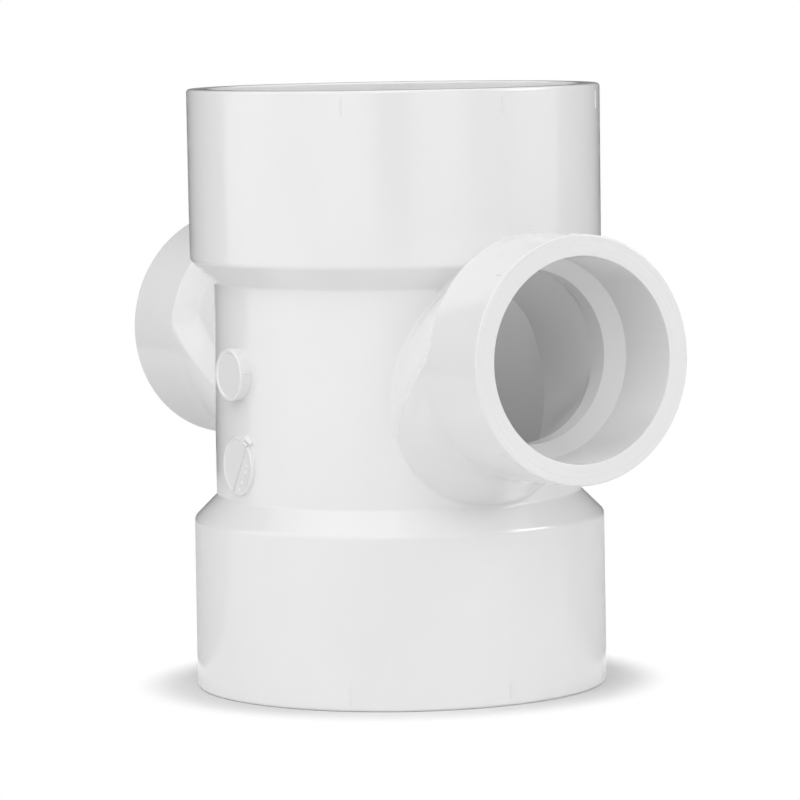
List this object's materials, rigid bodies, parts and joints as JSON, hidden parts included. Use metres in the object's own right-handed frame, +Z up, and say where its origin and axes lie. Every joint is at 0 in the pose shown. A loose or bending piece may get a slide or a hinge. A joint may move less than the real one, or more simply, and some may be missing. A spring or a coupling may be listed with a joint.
{
  "type": "double sanitary tee",
  "caption": "White moulded plastic drain fitting: a straight run with a hub socket at each end and a smaller hub socket swept down into the barrel on each side.",
  "frame": {"origin": "centre of the lower hub's rim, on the axis of the run", "axes": "+Z up along the run, from the lower hub to the upper one; +X and -X out through the branches; -Y towards the gate boss and the date disc"},
  "size_m": [0.2142, 0.1282, 0.1863],
  "materials": {
    "white_plastic": "satin moulded PVC"
  },
  "bodies": {
    "root": {"tee_body": "white_plastic"}
  },
  "joints": []
}
